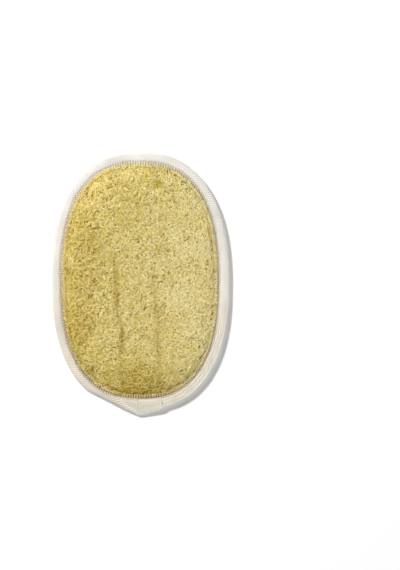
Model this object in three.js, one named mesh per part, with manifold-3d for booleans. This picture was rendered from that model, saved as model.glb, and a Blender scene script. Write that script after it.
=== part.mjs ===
// An oval bath scrubbing pad. One face is a cut and flattened piece of natural loofah, the other a ribbed
// knit cloth. A folded cotton tape closes both edges and ends in a folded corner, and a white elastic band
// crosses the back for the hand. The pad lies on its back with the loofah up.
// Millimetres, +Z up, +Y towards the round end, and the tape's folded corner at the -Y end.

import * as THREE from "three";
import { mergeVertices } from "three/addons/utils/BufferGeometryUtils.js";
import Module from "manifold-3d";

const wasm = await Module();
wasm.setup();

const TURN = 2 * Math.PI;

// The ovals are superellipses: half width, half length and the power that fills out their shoulders.
const PAD = { halfWidth: 57.5, halfLength: 83.4, power: 2.4 };
const FRONT_OPENING = { halfWidth: 50.2, halfLength: 75.5, power: 2.5 };
const BACK_OPENING = { halfWidth: 46.5, halfLength: 72.4, power: 2.6 };
const LAYER_INSET = 5.5; // how far the loofah and the cloth end inside the tape's outer edge
const LAYERS = {
  halfWidth: PAD.halfWidth - LAYER_INSET,
  halfLength: PAD.halfLength - LAYER_INSET,
  power: PAD.power,
};

// The tape's corner: its straight run from the oval, its point, and the end that is folded back.
const CORNER_START_X = -37;
const CORNER_POINT = { x: -1.5, y: -87.9 };
const FLAP_HEEL = { x: 12.1, y: -84.6 };
const FLAP_END_X = 14.7;
const FLAP_REACH = 14.6; // how far the folded end reaches in over the back, from the oval
const FLAP_LIFT = 0.8; // the folded end stands this much above the tape on the front
const FLAP_DIP = 0.5; // and this much below it on the back
const CORNER_THICKNESS = 3; // the flat tape at the very point
const CORNER_TAPER = 4.6; // it thins to that over this distance out from the oval
const TAPE_SECTIONS = 100; // sections drawn round the pad
const STEP_WIDTH = 0.003; // angle over which the tape steps up at the fold and down at the folded end
const STEP_CLEARANCE = 0.04; // ribs and threads clear such a step by this angle

// Layers at the edge, from the surface that the pad lies on upwards.
const GAP = 0.3; // clearance between neighbours that touch
const TAPE = 0.9; // one thickness of the tape
const CLOTH = 2;
const LOOFAH_EDGE = 1.6; // the loofah where the tape squeezes it
const LOOFAH_FULL = 8; // and in the middle of the pad
const CLOTH_BASE = TAPE + GAP;
const LOOFAH_BASE = CLOTH_BASE + CLOTH + GAP;
const RIM = LOOFAH_BASE + LOOFAH_EDGE + GAP + TAPE; // height of the taped edge

// The rounded outer edge of the tape, and the groove inside it that holds the layers.
const EDGE_ROUND = 0.6;
const EDGE_SHOULDER = 0.15; // where the round starts, as a share of the height
const EDGE_TOP_ROUND = 2;
const GROOVE_IN = 3.2; // the groove's bottom, in from the oval
const GROOVE_BEVEL = 0.4; // the tape is this much thicker there
const LEAF_LIP = 0.2; // the rounding of a leaf's inner edge

// The pad is cupped, so that its middle stands clear of the strap.
const FOOT_OUT = 1.9;
const FOOT_IN = 5; // the flat foot of the rim runs from FOOT_OUT to FOOT_IN
const CUP_HEIGHT = 8;
const CUP_REACH = 45;
const CUP_POWER = 2.2;
const SWELL_START = 0.9; // the loofah swells from here, inside the front opening
const SWELL_REACH = 6;
const SWELL_POWER = 1.3;

// Long creases in the loofah, where the fruit's chambers were pressed flat: [y, x, depth].
const CREASES = [
  [
    [28, -18.1, 0],
    [17.7, -17.7, 0.6],
    [1.5, -16.4, 1.2],
    [-12.8, -15.3, 1.8],
    [-21.3, -14.9, 1],
    [-32.3, -12.3, 1.7],
    [-42, -11.8, 1.7],
    [-49.2, -14.2, 0.9],
    [-64.8, -13.2, 0.7],
    [-73, -13, 0],
  ],
  [
    [30, 5.6, 0],
    [17.1, 6.8, 0.6],
    [-1.1, 7.9, 1.1],
    [-20.6, 10.1, 1.3],
    [-37.5, 11.3, 1.4],
    [-55, 12.1, 1],
    [-66, 11.1, 0.7],
    [-73, 11, 0],
  ],
];
const CREASE_WALL = 2.4; // width of the side that drops away
const CREASE_RECOVERY = 6; // the surface climbs back over about this distance
const CREASE_LIP = 0.35; // share of the depth that the other side stands up

// The loofah's net: low pits in a honeycomb of raised strands.
const NET_RINGS = 30;
const NET_DRIFT = 0.34; // sideways scatter, as a share of the spacing
const PIT_DEPTH = 1.9;
const PIT_EVENNESS = 0.6; // the shallowest pit, as a share of the deepest
const STRAND_LIFT = 0.6;
const NET_START = 1; // the net starts this far inside the front opening
const NET_FADE = 3; // and is full over this width more

const SMOOTH_RINGS = 10; // fineness of the faces that have no relief
const PRISM_SIDES = 180; // fineness of the outline that trims the ribs

// The ribbed cloth.
const RIB_PITCH = 4.85;
const RIB_HEIGHT = 1.5;
const RIB_SHOULDER = 0.27; // where the flat top of a rib starts, as a share of the pitch
const RIB_ROW = 5.6; // spacing of the rib's bends along the pad
const RIB_SWAY = 0.5;
const GROOVE_SWAY = 0.3;
const RIB_LAG = 2.7; // how far a rib's bends lag behind its neighbour's
const ROW_LAG = 1.9; // and from row to row, in radians
const RIB_ROUGHNESS = 0.25;
const RIB_ROOT = 1; // how far a rib is sunk into the cloth
const RIB_GROOVE = 0.4; // the bottom of the groove between two ribs hangs this far below the cloth

// The elastic strap.
const STRAP_WIDTH = 20.3;
const STRAP_Y = -1.6;
const STRAP_THICKNESS = 1.1;
const STRAP_HALF_LENGTH = 51; // its ends lie inside the tape
const STRAP_TUCK = 0.2; // extra clearance over the tape's back leaf
const STRAP_LOW = 0.4; // the middle of the strap above the surface
const STRAP_FLAT = 20; // half length of the strap's flat middle
const STRAP_STATIONS = 20; // sections drawn along it
const STRAP_CORDS = 9; // rubber cores that show as fine ridges along it
const STRAP_CORD_DEPTH = 0.18;
const STRAP_CLEARANCE = 6; // no rib of the cloth hangs within this distance below the strap

// Sewing thread, drawn larger than life and with fewer stitches.
const THREAD_RADIUS = 0.35;
const SEAM_STITCHES = 66;
const SEAM_SWING = 0.7;
const FRONT_SEAM_IN = 1.5; // the front seam, out from the tape's inner edge
const BACK_SEAM_IN = 1.2; // and the back one
const STRAP_SEAM_X = 45.2;
const STRAP_STITCHES = 7;
const STRAP_SEAM_SWING = 0.4;
const STRAP_SEAM_MARGIN = 1; // from the strap's edges

const OVAL_CENTRE_Y = (-CORNER_POINT.y - PAD.halfLength) / 2; // centres the pad with its corner

// A repeatable source of scatter between 0 and 1.
function scatter(seed) {
  let state = seed;
  return () => {
    state = (state + 0x6d2b79f5) | 0;
    let t = Math.imul(state ^ (state >>> 15), 1 | state);
    t = (t + Math.imul(t ^ (t >>> 7), 61 | t)) ^ t;
    return ((t ^ (t >>> 14)) >>> 0) / 4294967296;
  };
}

function smooth(low, high, value) {
  const t = Math.min(1, Math.max(0, (value - low) / (high - low)));
  return t * t * (3 - 2 * t);
}

function ovalRadius(angle, oval) {
  const across = Math.abs(Math.cos(angle) / oval.halfWidth) ** oval.power;
  const along = Math.abs(Math.sin(angle) / oval.halfLength) ** oval.power;
  return (across + along) ** (-1 / oval.power);
}

// The point of the pad's oval below a given x.
function lowerOvalPoint(x) {
  const rest = 1 - Math.abs(x / PAD.halfWidth) ** PAD.power;
  return { x, y: -PAD.halfLength * rest ** (1 / PAD.power) };
}

// Where the ray at an angle meets the line through two points.
function lineRadius(angle, from, to) {
  const dx = to.x - from.x;
  const dy = to.y - from.y;
  return (from.x * dy - from.y * dx) / (Math.cos(angle) * dy - Math.sin(angle) * dx);
}

const polar = (p) => Math.atan2(p.y, p.x);
const CORNER = [
  lowerOvalPoint(CORNER_START_X),
  CORNER_POINT,
  FLAP_HEEL,
  lowerOvalPoint(FLAP_END_X),
];
const FOLD_ANGLE = polar(CORNER_POINT);
const FLAP_END_ANGLE = polar(CORNER[3]);

const signed = (angle) => Math.atan2(Math.sin(angle), Math.cos(angle));
const onFlap = (angle) => signed(angle) >= FOLD_ANGLE - 1e-9 && signed(angle) <= FLAP_END_ANGLE + 1e-9;

// The tape's outer edge: the oval, with the corner's straight edges.
function tapeRadius(angle) {
  const at = signed(angle);
  for (let i = 0; i < CORNER.length - 1; i++) {
    if (at >= polar(CORNER[i]) && at <= polar(CORNER[i + 1])) {
      return lineRadius(at, CORNER[i], CORNER[i + 1]);
    }
  }
  return ovalRadius(at, PAD);
}

// How far a point lies inside the pad's oval, along the ray from the centre.
const inside = (x, y) => ovalRadius(Math.atan2(y, x), PAD) - Math.hypot(x, y);

function cup(depthIn) {
  const t = Math.min(1, Math.max(0, (depthIn - FOOT_IN) / CUP_REACH));
  return CUP_HEIGHT * (1 - (1 - t) ** CUP_POWER);
}

function swell(x, y) {
  const depthIn = ovalRadius(Math.atan2(y, x), FRONT_OPENING) - Math.hypot(x, y) - SWELL_START;
  const share = 1 - Math.exp(-((Math.max(0, depthIn) / SWELL_REACH) ** SWELL_POWER));
  return LOOFAH_EDGE + (LOOFAH_FULL - LOOFAH_EDGE) * share;
}

// x and depth of a crease at a given y, eased between its points, or null beyond its ends.
function creaseAt(points, y) {
  for (let i = 0; i < points.length - 1; i++) {
    const [y0, x0, d0] = points[i];
    const [y1, x1, d1] = points[i + 1];
    if (y <= y0 && y >= y1) {
      const t = smooth(y0, y1, y);
      return { x: x0 + (x1 - x0) * t, depth: d0 + (d1 - d0) * t };
    }
  }
  return null;
}

function creaseHeight(x, y) {
  let height = 0;
  for (const points of CREASES) {
    const crease = creaseAt(points, y);
    if (!crease) continue;
    const u = x - crease.x;
    const past = Math.max(0, u - CREASE_WALL);
    const drop = smooth(-CREASE_WALL / 4, CREASE_WALL, u) * Math.exp(-past / CREASE_RECOVERY);
    const lip = CREASE_LIP * Math.exp(-((u + CREASE_WALL) ** 2) / CREASE_RECOVERY);
    height += crease.depth * (lip - drop);
  }
  return height;
}

const clothUnder = (x, y) => CLOTH_BASE + cup(inside(x, y));
const clothOver = (x, y) => clothUnder(x, y) + CLOTH;
const loofahUnder = (x, y) => LOOFAH_BASE + cup(inside(x, y));
const loofahOver = (x, y) => loofahUnder(x, y) + swell(x, y);

// A closed mesh from a list of points and triangles.
function surface(points, triangles) {
  const geometry = new THREE.BufferGeometry();
  geometry.setAttribute("position", new THREE.Float32BufferAttribute(points.flat(), 3));
  geometry.setIndex(triangles.flat());
  return geometry;
}

function toSolid(geometry) {
  const bare = geometry.clone();
  bare.deleteAttribute("normal");
  bare.deleteAttribute("uv");
  const merged = mergeVertices(bare, 1e-4);
  const vertProperties = new Float32Array(merged.attributes.position.array);
  const triVerts = new Uint32Array(merged.index.array);
  return new wasm.Manifold(new wasm.Mesh({ numProp: 3, vertProperties, triVerts }));
}

function toGeometry(solid) {
  const mesh = solid.getMesh();
  const points = [];
  for (let i = 0; i < mesh.numVert; i++) {
    const at = i * mesh.numProp;
    points.push(Array.from(mesh.vertProperties.subarray(at, at + 3)));
  }
  return surface(points, [Array.from(mesh.triVerts)]);
}

// A disc of triangles in hexagonal rings: ring k has 6k points. Each point knows its ring, its angle, and
// whether it is the middle of a honeycomb cell.
function hexDisc(rings) {
  const sides = [
    [1, 0],
    [0, 1],
    [-1, 1],
    [-1, 0],
    [0, -1],
    [1, -1],
  ];
  const nodes = [{ ring: 0, angle: 0, pit: true }];
  const index = (ring, side, step) => {
    if (ring === 0) return 0;
    return 1 + 3 * ring * (ring - 1) + ((side * ring + step) % (6 * ring));
  };
  for (let ring = 1; ring <= rings; ring++) {
    for (let side = 0; side < 6; side++) {
      for (let step = 0; step < ring; step++) {
        const [q0, r0] = sides[side];
        const [q1, r1] = sides[(side + 1) % 6];
        const q = q0 * (ring - step) + q1 * step;
        const r = r0 * (ring - step) + r1 * step;
        const angle = ((side + step / ring) * TURN) / 6;
        nodes.push({ ring, angle, pit: (q - r) % 3 === 0 });
      }
    }
  }
  const triangles = [];
  for (let ring = 1; ring <= rings; ring++) {
    for (let side = 0; side < 6; side++) {
      for (let step = 0; step < ring; step++) {
        const a = index(ring, side, step);
        const b = index(ring, side, step + 1);
        const c = index(ring - 1, side, step);
        triangles.push([a, b, c]);
        if (step < ring - 1) triangles.push([c, b, index(ring - 1, side, step + 1)]);
      }
    }
  }
  return { nodes, triangles };
}

// Joins two closed rings of points, given as lists of [index, angle], with a band of triangles.
function zip(upper, lower) {
  const triangles = [];
  let i = 0;
  let j = 0;
  while (i < upper.length || j < lower.length) {
    const nextUpper = i < upper.length ? (upper[i + 1]?.[1] ?? TURN) : Infinity;
    const nextLower = j < lower.length ? (lower[j + 1]?.[1] ?? TURN) : Infinity;
    const a = upper[i % upper.length][0];
    const b = lower[j % lower.length][0];
    if (nextUpper <= nextLower) {
      triangles.push([a, b, upper[++i % upper.length][0]]);
    } else {
      triangles.push([a, b, lower[++j % lower.length][0]]);
    }
  }
  return triangles;
}

// A sheet that fills an oval: its top and bottom are hexagonal discs of their own fineness.
function ovalSheet(oval, topRings, topPoint, bottomRings, bottomPoint) {
  const top = hexDisc(topRings);
  const bottom = hexDisc(bottomRings);
  const place = (rings, toPoint) => (node) => {
    const radius = (ovalRadius(node.angle, oval) * node.ring) / rings;
    return toPoint(radius * Math.cos(node.angle), radius * Math.sin(node.angle), node);
  };
  const points = [
    ...top.nodes.map(place(topRings, topPoint)),
    ...bottom.nodes.map(place(bottomRings, bottomPoint)),
  ];
  const offset = top.nodes.length;
  const rim = (disc, rings, shift) =>
    disc.nodes.flatMap((node, i) => (node.ring === rings ? [[i + shift, node.angle]] : []));
  const triangles = [
    ...top.triangles,
    ...bottom.triangles.map(([a, b, c]) => [a + offset, c + offset, b + offset]),
    ...zip(rim(top, topRings, 0), rim(bottom, bottomRings, offset)),
  ];
  return surface(points, triangles);
}

// The loofah: a crowned sheet whose upper face is a raised net of strands with long creases.
function makeLoofah() {
  const random = scatter(11);
  const spacing = LAYERS.halfWidth / NET_RINGS;
  const netPoint = (x, y, node) => {
    const depthIn = ovalRadius(Math.atan2(y, x), FRONT_OPENING) - Math.hypot(x, y);
    const strength = smooth(NET_START, NET_START + NET_FADE, depthIn);
    const drift = 2 * NET_DRIFT * spacing * strength;
    const px = x + drift * (random() - 0.5);
    const py = y + drift * (random() - 0.5);
    const pit = PIT_DEPTH * (PIT_EVENNESS + (1 - PIT_EVENNESS) * random());
    const relief = node.pit ? -pit : STRAND_LIFT * random();
    return [px, py, loofahOver(px, py) + strength * (relief + creaseHeight(px, py))];
  };
  const underPoint = (x, y) => [x, y, loofahUnder(x, y)];
  return ovalSheet(LAYERS, NET_RINGS, netPoint, SMOOTH_RINGS, underPoint);
}

// An upright prism over a closed outline given as a radius for each angle.
function prism(radiusAt, low, high) {
  const outline = Array.from({ length: PRISM_SIDES }, (_, i) => {
    const angle = (i * TURN) / PRISM_SIDES;
    const radius = radiusAt(angle);
    return new THREE.Vector2(radius * Math.cos(angle), radius * Math.sin(angle));
  });
  const options = { depth: high - low, bevelEnabled: false };
  return new THREE.ExtrudeGeometry(new THREE.Shape(outline), options).translate(0, 0, low);
}

// The swaying ribs as one corrugated slab, whose roots lie inside the cloth.
function ribSlab() {
  const random = scatter(23);
  const ribs = 2 * Math.ceil(BACK_OPENING.halfWidth / RIB_PITCH) + 2;
  const rows = 2 * Math.ceil(BACK_OPENING.halfLength / RIB_ROW) + 2;
  const columns = 3 * ribs + 1;
  const shares = [0, RIB_SHOULDER, 1 - RIB_SHOULDER];
  const points = [];
  for (let row = 0; row <= rows; row++) {
    const y = (row - rows / 2) * RIB_ROW;
    for (let column = 0; column < columns; column++) {
      const rib = Math.floor(column / 3);
      const crest = column % 3 !== 0;
      const phase = Math.sin(rib * RIB_LAG) + row * ROW_LAG;
      const sway = (crest ? RIB_SWAY : GROOVE_SWAY) * Math.sin(phase);
      const x = (rib + shares[column % 3] - ribs / 2) * RIB_PITCH + sway;
      const drop = crest ? -RIB_HEIGHT + RIB_ROUGHNESS * random() : -RIB_GROOVE;
      points.push([x, y, clothUnder(x, y) + drop]);
      points.push([x, y, clothUnder(x, y) + RIB_ROOT]);
    }
  }
  const at = (row, column, side) => 2 * (row * columns + column) + side;
  const triangles = [];
  const quad = (a, b, c, d) => triangles.push([a, b, c], [a, c, d]);
  for (let row = 0; row < rows; row++) {
    for (let c = 0; c < columns - 1; c++) {
      quad(at(row, c, 0), at(row + 1, c, 0), at(row + 1, c + 1, 0), at(row, c + 1, 0));
      quad(at(row, c, 1), at(row, c + 1, 1), at(row + 1, c + 1, 1), at(row + 1, c, 1));
    }
    const last = columns - 1;
    quad(at(row, 0, 0), at(row, 0, 1), at(row + 1, 0, 1), at(row + 1, 0, 0));
    quad(at(row, last, 0), at(row + 1, last, 0), at(row + 1, last, 1), at(row, last, 1));
  }
  for (let c = 0; c < columns - 1; c++) {
    quad(at(0, c, 0), at(0, c + 1, 0), at(0, c + 1, 1), at(0, c, 1));
    quad(at(rows, c, 0), at(rows, c, 1), at(rows, c + 1, 1), at(rows, c + 1, 0));
  }
  return surface(points, triangles);
}

// How far the tape's back leaf reaches in from the oval, at an angle.
function backReach(angle) {
  if (onFlap(angle)) return FLAP_REACH;
  return ovalRadius(angle, PAD) - ovalRadius(angle, BACK_OPENING);
}

// The underside of the tape's back leaf.
function leafUnder(angle, depthIn) {
  const dip = onFlap(angle) ? FLAP_DIP * smooth(FOOT_IN, FOOT_IN + 2, depthIn) : 0;
  return Math.max(0, cup(depthIn) - dip);
}

// The upper side of the tape's front leaf.
function leafOver(angle, depthIn) {
  return RIM + cup(depthIn) + (onFlap(angle) ? FLAP_LIFT : 0);
}

// The ribbed cloth: a smooth sheet, its ribs within the tape's opening, and a pocket for the strap.
function makeCloth(strapPocket) {
  const under = (x, y) => [x, y, clothUnder(x, y)];
  const over = (x, y) => [x, y, clothOver(x, y)];
  const sheet = toSolid(ovalSheet(LAYERS, SMOOTH_RINGS, over, SMOOTH_RINGS, under));
  const nearby = (angle) => [angle - STEP_CLEARANCE, angle, angle + STEP_CLEARANCE];
  const ribRadius = (angle) => {
    return Math.min(...nearby(angle).map((a) => ovalRadius(a, PAD) - backReach(a) - GAP));
  };
  const trim = prism(ribRadius, -RIM, 2 * (CUP_HEIGHT + RIM));
  const ribs = toSolid(ribSlab()).intersect(toSolid(trim));
  return toGeometry(sheet.add(ribs).subtract(strapPocket));
}

// One closed section of the folded tape at an angle, as [distance in from the oval, height].
function tapeSection(angle) {
  const out = ovalRadius(angle, PAD) - tapeRadius(angle);
  const frontIn = ovalRadius(angle, PAD) - ovalRadius(angle, FRONT_OPENING);
  const backIn = backReach(angle);
  const backMid = (FOOT_IN + backIn) / 2;
  const share = Math.min(1, Math.max(0, -out / CORNER_TAPER));
  const lift = onFlap(angle) ? FLAP_LIFT : 0;
  const top = RIM + lift - (RIM - CORNER_THICKNESS) * share;
  const wall = TAPE + GROOVE_BEVEL;
  return [
    [out + FOOT_OUT, 0],
    [out + EDGE_ROUND, EDGE_SHOULDER * top],
    [out, top / 2],
    [out + EDGE_ROUND, (1 - EDGE_SHOULDER) * top],
    [out + EDGE_TOP_ROUND, top],
    [FOOT_IN, leafOver(angle, FOOT_IN)],
    [frontIn - LEAF_LIP, leafOver(angle, frontIn)],
    [frontIn, leafOver(angle, frontIn) - 2 * LEAF_LIP],
    [frontIn, RIM + cup(frontIn) - TAPE],
    [FOOT_IN, RIM - TAPE],
    [GROOVE_IN, RIM - wall],
    [GROOVE_IN, wall],
    [FOOT_IN, TAPE],
    [backMid, leafUnder(angle, backMid) + TAPE],
    [backIn, leafUnder(angle, backIn) + TAPE],
    [backIn + LEAF_LIP / 2, leafUnder(angle, backIn) + LEAF_LIP],
    [backMid, leafUnder(angle, backMid)],
    [FOOT_IN, 0],
  ];
}

// The angles at which the tape is drawn: evenly spread, with close pairs at the fold and the flap's end.
function tapeAngles() {
  const step = TURN / TAPE_SECTIONS;
  const special = [
    ...CORNER.map(polar),
    FOLD_ANGLE - STEP_WIDTH,
    FLAP_END_ANGLE + STEP_WIDTH,
  ];
  const even = Array.from({ length: TAPE_SECTIONS }, (_, i) => signed(i * step));
  const kept = even.filter((a) => special.every((s) => Math.abs(a - s) > 0.4 * step));
  return [...kept, ...special].sort((a, b) => a - b);
}

// Sweeps closed sections round the pad. Each section is a list of [distance in from the oval, height].
function sweepRound(angles, sectionAt) {
  const points = [];
  const count = sectionAt(angles[0]).length;
  for (const angle of angles) {
    for (const [depthIn, z] of sectionAt(angle)) {
      const radius = ovalRadius(angle, PAD) - depthIn;
      points.push([radius * Math.cos(angle), radius * Math.sin(angle), z]);
    }
  }
  const triangles = [];
  for (let i = 0; i < angles.length; i++) {
    const here = i * count;
    const next = ((i + 1) % angles.length) * count;
    for (let j = 0; j < count; j++) {
      const k = (j + 1) % count;
      triangles.push([here + j, next + j, next + k], [here + j, next + k, here + k]);
    }
  }
  return surface(points, triangles);
}

// The strap's underside at x: flat in the middle, rising to slip over the tape's back leaf.
function strapUnder(x) {
  const edge = BACK_OPENING.halfWidth;
  const tuck = CLOTH_BASE + STRAP_TUCK + cup(PAD.halfWidth - edge);
  const t = Math.max(0, Math.abs(x) - STRAP_FLAT) / (edge - STRAP_FLAT);
  if (t >= 1) return CLOTH_BASE + STRAP_TUCK + cup(PAD.halfWidth - Math.abs(x));
  return STRAP_LOW + (tuck - STRAP_LOW) * t * t;
}

// A strap-shaped solid, grown by a margin on every side and by more below.
function strapSolid(margin, below) {
  const cords = STRAP_CORDS;
  const half = STRAP_WIDTH / 2 + margin;
  const stations = STRAP_STATIONS;
  const reach = STRAP_HALF_LENGTH + margin;
  const section = (x) => {
    const low = strapUnder(x) - below;
    const high = strapUnder(x) + STRAP_THICKNESS + margin;
    const ring = [];
    for (let i = 0; i <= 2 * cords; i++) {
      const groove = margin === 0 && i % 2 === 1 ? STRAP_CORD_DEPTH : 0;
      ring.push([-half + (i * half) / cords, low + groove]);
    }
    ring.push([half, high]);
    ring.push([-half, high]);
    return ring;
  };
  const points = [];
  const count = section(0).length;
  for (let i = 0; i <= stations; i++) {
    const x = -reach + (2 * reach * i) / stations;
    points.push(...section(x).map(([y, z]) => [x, y + STRAP_Y, z]));
  }
  const triangles = [];
  for (let i = 0; i < stations; i++) {
    for (let j = 0; j < count; j++) {
      const k = (j + 1) % count;
      const a = i * count;
      const b = a + count;
      triangles.push([a + j, a + k, b + k], [a + j, b + k, b + j]);
    }
  }
  const last = stations * count;
  const topLeft = count - 1;
  for (let j = 0; j < count - 2; j++) {
    triangles.push([topLeft, j + 1, j], [last + topLeft, last + j, last + j + 1]);
  }
  return surface(points, triangles);
}

// A thread along a path of points, three-sided, either closed on itself or capped.
function thread(path, closed) {
  const sides = 3;
  const points = [];
  path.forEach((p, i) => {
    const before = path[closed ? (i + path.length - 1) % path.length : Math.max(0, i - 1)];
    const after = path[closed ? (i + 1) % path.length : Math.min(path.length - 1, i + 1)];
    const along = new THREE.Vector3().subVectors(after, before).normalize();
    const across = new THREE.Vector3(0, 0, 1).cross(along).normalize();
    const up = new THREE.Vector3().crossVectors(along, across);
    for (let s = 0; s < sides; s++) {
      const turn = (s * TURN) / sides;
      const offset = across.clone().multiplyScalar(Math.cos(turn) * THREAD_RADIUS);
      offset.addScaledVector(up, Math.sin(turn) * THREAD_RADIUS);
      points.push(p.clone().add(offset).toArray());
    }
  });
  const triangles = [];
  const spans = closed ? path.length : path.length - 1;
  for (let i = 0; i < spans; i++) {
    const a = i * sides;
    const b = ((i + 1) % path.length) * sides;
    for (let s = 0; s < sides; s++) {
      const n = (s + 1) % sides;
      triangles.push([a + s, a + n, b + n], [a + s, b + n, b + s]);
    }
  }
  if (!closed) {
    const z = (path.length - 1) * sides;
    triangles.push([0, 2, 1], [z, z + 1, z + 2]);
  }
  return surface(points, triangles);
}

// A zigzag seam round the pad on the tape. heightAt gives the tape's surface, side is 1 above and -1 below.
function roundSeam(reachAt, heightAt, side) {
  const path = [];
  const count = 2 * SEAM_STITCHES;
  for (let i = 0; i < count; i++) {
    const angle = (i * TURN) / count;
    const depthIn = reachAt(angle) + (i % 2 === 0 ? SEAM_SWING / 2 : -SEAM_SWING / 2);
    const nearby = [angle - STEP_CLEARANCE, angle, angle + STEP_CLEARANCE];
    const heights = nearby.map((a) => side * heightAt(a, depthIn));
    const z = side * (Math.max(...heights) + GAP + THREAD_RADIUS);
    const radius = ovalRadius(angle, PAD) - depthIn;
    path.push(new THREE.Vector3(radius * Math.cos(angle), radius * Math.sin(angle), z));
  }
  return thread(path, true);
}

// The row of stitches across one end of the strap. side is -1 at the left end and 1 at the right one.
function strapSeam(side) {
  const path = [];
  const steps = 2 * STRAP_STITCHES;
  for (let i = 0; i <= steps; i++) {
    const swing = i % 2 === 0 ? STRAP_SEAM_SWING / 2 : -STRAP_SEAM_SWING / 2;
    const x = side * (STRAP_SEAM_X + swing);
    const y = STRAP_Y + (i / steps - 0.5) * (STRAP_WIDTH - 2 * STRAP_SEAM_MARGIN);
    path.push(new THREE.Vector3(x, y, strapUnder(x) - GAP - THREAD_RADIUS));
  }
  return thread(path, false);
}

const LOOFAH_LOOK = { color: 0xcdb877, roughness: 0.9, metalness: 0 };
const CLOTH_LOOK = { color: 0xd9c8ad, roughness: 0.95, metalness: 0 };
const TAPE_LOOK = { color: 0xe9e4d6, roughness: 0.85, metalness: 0 };
const STRAP_LOOK = { color: 0xe6e6e9, roughness: 0.7, metalness: 0 };
const THREAD_LOOK = { color: 0xe8e0cc, roughness: 0.8, metalness: 0 };

const pad = new THREE.Group();
pad.position.y = OVAL_CENTRE_Y;

function addPiece(name, geometry, look) {
  const mesh = new THREE.Mesh(geometry, new THREE.MeshStandardMaterial(look));
  mesh.name = name;
  geometry.computeVertexNormals();
  pad.add(mesh);
}

const frontReach = (angle) => {
  return ovalRadius(angle, PAD) - ovalRadius(angle, FRONT_OPENING) - FRONT_SEAM_IN;
};
const backSeamReach = (angle) => {
  return ovalRadius(angle, PAD) - ovalRadius(angle, BACK_OPENING) - BACK_SEAM_IN;
};

addPiece("loofah_face", makeLoofah(), LOOFAH_LOOK);
addPiece("ribbed_back", makeCloth(toSolid(strapSolid(GAP, STRAP_CLEARANCE))), CLOTH_LOOK);
addPiece("binding_tape", sweepRound(tapeAngles(), tapeSection), TAPE_LOOK);
addPiece("elastic_strap", strapSolid(0, 0), STRAP_LOOK);
addPiece("front_seam_thread", roundSeam(frontReach, leafOver, 1), THREAD_LOOK);
addPiece("back_seam_thread", roundSeam(backSeamReach, leafUnder, -1), THREAD_LOOK);
addPiece("strap_thread_left", strapSeam(-1), THREAD_LOOK);
addPiece("strap_thread_right", strapSeam(1), THREAD_LOOK);

const part = new THREE.Group();
part.add(pad);

export default part;
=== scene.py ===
# The finished look of an oval loofah bath pad: its felt of fibres, knit back, twill tape and elastic strap.
# Sizes are millimetres measured from the ovals' centre, and are turned to metres as each mesh is made.

import math
from collections import namedtuple

import bpy
import numpy as np
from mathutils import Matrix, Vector


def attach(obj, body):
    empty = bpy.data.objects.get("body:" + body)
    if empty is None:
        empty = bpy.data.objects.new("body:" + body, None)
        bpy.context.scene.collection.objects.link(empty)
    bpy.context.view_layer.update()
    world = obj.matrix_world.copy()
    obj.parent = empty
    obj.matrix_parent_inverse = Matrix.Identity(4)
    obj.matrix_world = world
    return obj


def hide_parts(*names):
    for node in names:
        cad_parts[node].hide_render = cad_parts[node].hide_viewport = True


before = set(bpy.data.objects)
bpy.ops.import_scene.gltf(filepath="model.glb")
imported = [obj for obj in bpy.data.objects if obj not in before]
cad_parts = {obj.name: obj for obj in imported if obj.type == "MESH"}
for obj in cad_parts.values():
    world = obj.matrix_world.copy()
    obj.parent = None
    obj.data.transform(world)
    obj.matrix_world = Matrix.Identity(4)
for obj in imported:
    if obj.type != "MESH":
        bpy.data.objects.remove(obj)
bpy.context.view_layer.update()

SCENE = bpy.context.scene
MM = 0.001
TURN = 2 * math.pi
UP, DOWN = (0, 0, 1), (0, 0, -1)
CENTRE_Y = 2.25  # the ovals' centre in the part's own frame

# The ovals are superellipses, as in the part's solids.
Oval = namedtuple("Oval", "half_width half_length power")
PAD = Oval(57.5, 83.4, 2.4)
FRONT_OPENING = Oval(50.2, 75.5, 2.5)
BACK_OPENING = Oval(46.5, 72.4, 2.6)
LAYERS = Oval(52.0, 77.9, 2.4)

# Layers at the edge, from the surface that the pad lies on upwards.
GAP = 0.3
TAPE = 0.9
CLOTH = 2.0
LOOFAH_EDGE = 1.6
LOOFAH_FULL = 8.0
CLOTH_BASE = TAPE + GAP
LOOFAH_BASE = CLOTH_BASE + CLOTH + GAP
RIM = LOOFAH_BASE + LOOFAH_EDGE + GAP + TAPE
# The back is cupped over that surface, and the loofah swells over the back.
FOOT_IN = 5.0
CUP_HEIGHT = 8.0
CUP_REACH = 45.0
CUP_POWER = 2.2
SWELL_START = -1.2
SWELL_REACH = 6.5
SWELL_POWER = 1.15

# Long creases, where the fruit's chambers were pressed flat: (y, x, depth).
CREASES = [
    [(28, -18.1, 0.0), (17.7, -17.7, 0.6), (1.5, -16.4, 1.2), (-12.8, -15.3, 1.8), (-21.3, -14.9, 1.0),
     (-32.3, -12.3, 1.7), (-42, -11.8, 1.7), (-49.2, -14.2, 0.9), (-64.8, -13.2, 0.7), (-73, -13, 0.0)],
    [(30, 5.6, 0.0), (17.1, 6.8, 0.6), (-1.1, 7.9, 1.1), (-20.6, 10.1, 1.35), (-37.5, 11.3, 1.45),
     (-55, 12.1, 1.1), (-66, 11.1, 0.5), (-73, 11, 0.0)],
]
CREASE_WALL = 2.4
CREASE_RECOVERY = 6.0
CREASE_LIP = 0.7
CREASE_SHARE = 0.43  # the felt of strands bridges part of each crease
CREASE_DEEPEST = 1.8
CREASE_SHADE_POWER = 1.7  # the painted shade in a crease grows faster than its depth
CREASE_SHADE_AT = (0.9, 1.5)  # how far past the crease's line the painted shade lies, and how wide it is
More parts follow.
